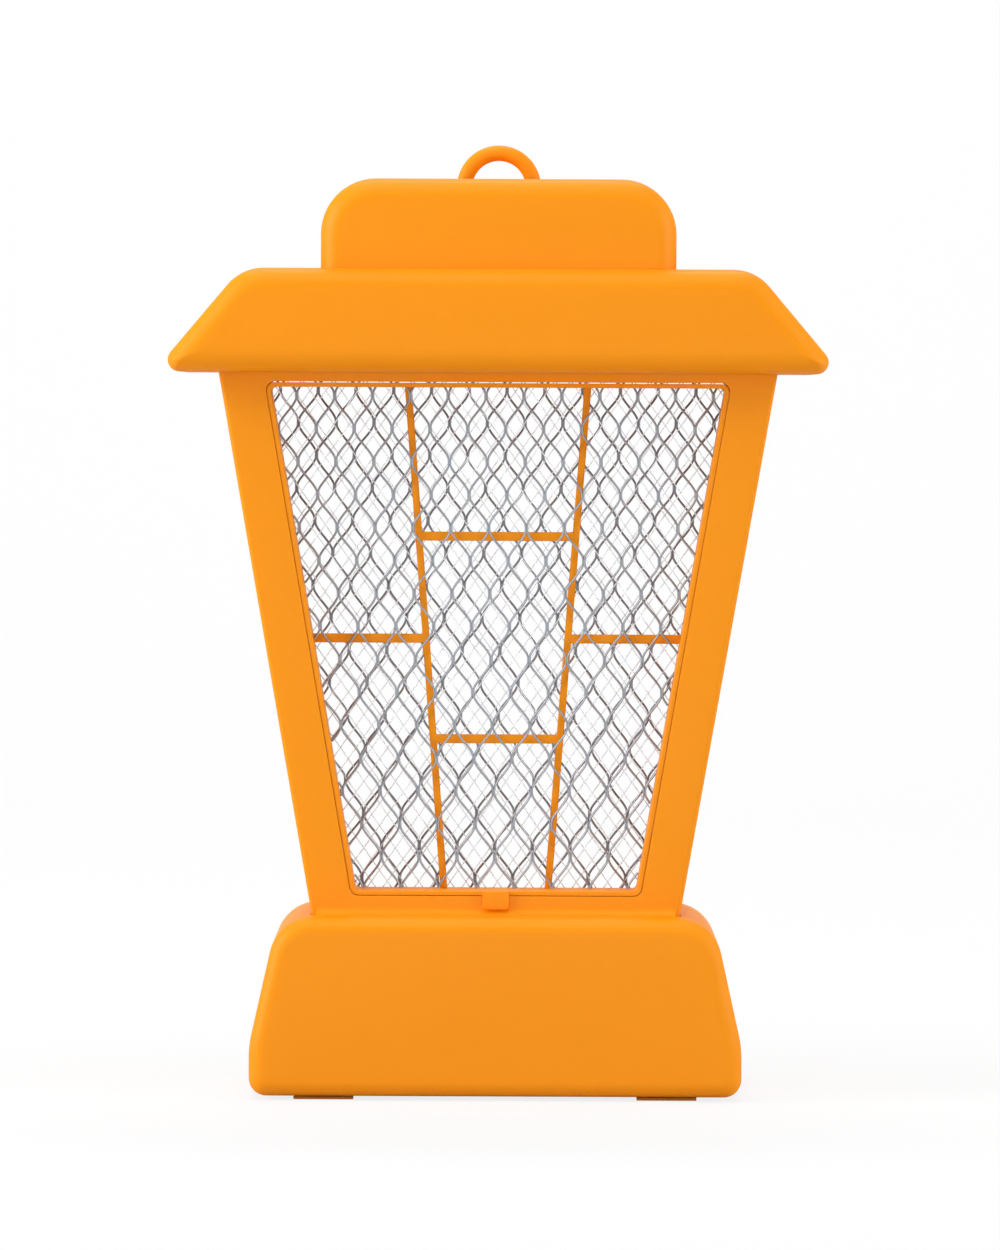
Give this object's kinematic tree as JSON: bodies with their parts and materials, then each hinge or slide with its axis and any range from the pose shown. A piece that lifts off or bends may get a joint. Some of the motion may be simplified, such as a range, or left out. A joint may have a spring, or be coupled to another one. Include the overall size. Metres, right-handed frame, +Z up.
{
  "type": "electric bug zapper",
  "caption": "Battery lantern zapper: trapezoid frame with a live grid between guard grids, hollow base for the cells and circuit, wide roof with a hanging loop.",
  "frame": {"origin": "middle of the footprint, at the underside of the foot pads", "axes": "+Z up, +X to the right seen from the front, -Y is the front with the swinging guard"},
  "size_m": [0.1764, 0.06, 0.2561],
  "materials": {
    "shell": "satin moulded plastic",
    "guard_steel": "dull grey expanded metal",
    "live_aluminium": "bright fine mesh",
    "screw_steel": "zinc plated",
    "rubber": "matt",
    "black_plastic": "matt",
    "board": "lacquered board",
    "ferrite": "sintered ferrite",
    "coil_tape": "tape over copper",
    "film": "dipped",
    "ceramic": "lacquered",
    "lens": "clear tinted",
    "cell": "printed jacket, plain here",
    "nickel": "nickel plated",
    "red_wire": "insulation",
    "black_wire": "insulation"
  },
  "bodies": {
    "housing": {"base_front_shell": "shell", "base_rear_shell": "shell", "roof_front_shell": "shell", "roof_rear_shell": "shell", "frame_front_bezel": "shell", "frame_rear_bezel": "shell", "live_grid": "live_aluminium", "rear_grid": "guard_steel", "rear_grid_retainer": "shell", "battery_holder": "black_plastic", "battery_cell_left": "cell", "battery_cell_right": "cell", "battery_contact_left": "nickel", "battery_contact_right": "nickel", "battery_spring": "nickel", "circuit_board": "board", "transformer_core": "ferrite", "transformer_coil": "coil_tape", "storage_capacitor": "film", "bleed_resistor": "ceramic", "switching_transistor": "black_plastic", "power_switch_body": "black_plastic", "indicator_led": "lens", "live_grid_lead": "red_wire", "guard_grid_lead": "black_wire", "base_screw_1": "screw_steel", "base_screw_2": "screw_steel", "roof_screw_1": "screw_steel", "roof_screw_2": "screw_steel", "roof_screw_3": "screw_steel", "roof_screw_4": "screw_steel", "frame_screw_1": "screw_steel", "frame_screw_2": "screw_steel", "frame_screw_3": "screw_steel", "frame_screw_4": "screw_steel", "foot_pad_front_left": "rubber", "foot_pad_front_right": "rubber", "foot_pad_rear_left": "rubber", "foot_pad_rear_right": "rubber"},
    "front_guard": {"guard_frame": "shell", "guard_grid": "guard_steel"},
    "loop": {"hanging_loop": "shell"},
    "switch": {"power_switch_knob": "black_plastic"},
    "door": {"battery_door": "shell"}
  },
  "joints": [
    {"name": "guard_hinge", "type": "hinge", "parent": "housing", "child": "front_guard", "pos_m": [0, -0.0178, 0.1896], "axis": [-1, 0, 0], "range_deg": [0, 50]},
    {"name": "loop_tilt", "type": "hinge", "parent": "housing", "child": "loop", "pos_m": [0, 0, 0.242], "axis": [1, 0, 0], "range_deg": [-30, 30]},
    {"name": "switch_slide", "type": "slide", "parent": "housing", "child": "switch", "axis": [1, 0, 0], "range_m": [0, 0.005]},
    {"name": "door_hinge", "type": "hinge", "parent": "housing", "child": "door", "pos_m": [0, -0.0195, 0.0015], "axis": [-1, 0, 0], "range_deg": [0, 95]}
  ]
}
